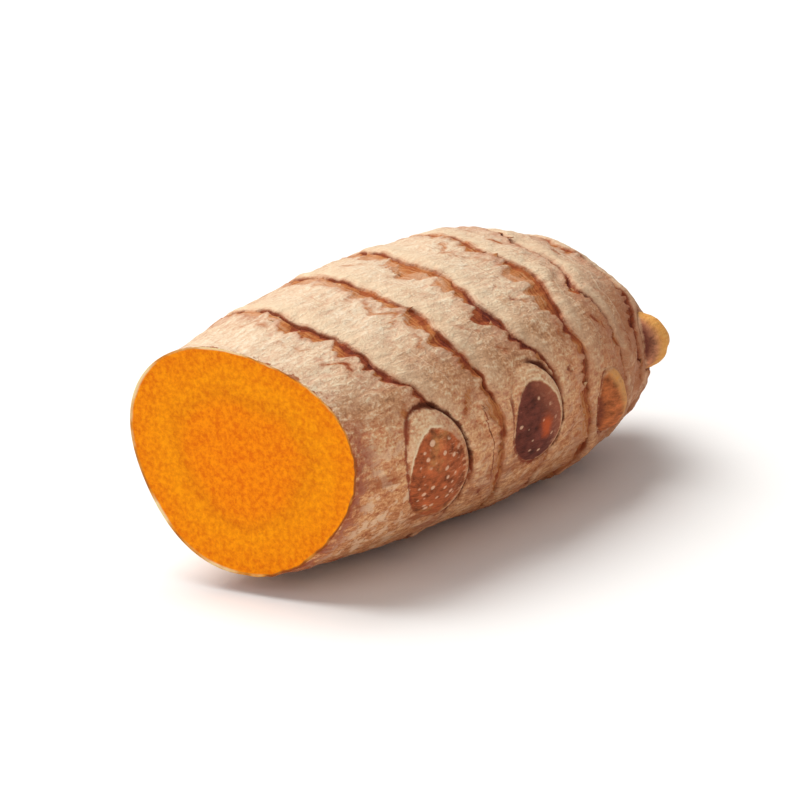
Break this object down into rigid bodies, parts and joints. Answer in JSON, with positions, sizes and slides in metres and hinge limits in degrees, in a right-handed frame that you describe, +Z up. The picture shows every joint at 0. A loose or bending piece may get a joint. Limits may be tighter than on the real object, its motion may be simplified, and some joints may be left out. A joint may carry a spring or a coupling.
{
  "type": "turmeric root",
  "caption": "Fresh turmeric finger cut across at its thick end, with slanting growth rings, dormant buds, papery beige skin and a bright orange cut face, lying on its side.",
  "frame": {"origin": "centre of the bounding box's underside, on the surface that the root lies on", "axes": "+X from the cut end to the tip, +Z up, cut face towards -X"},
  "size_m": [0.056, 0.025, 0.0233],
  "materials": {
    "turmeric_skin": "dry, matt, papery beige skin with brown rings; moist bright orange flesh on the cut face"
  },
  "bodies": {
    "root": {"turmeric_root": "turmeric_skin"}
  },
  "joints": []
}
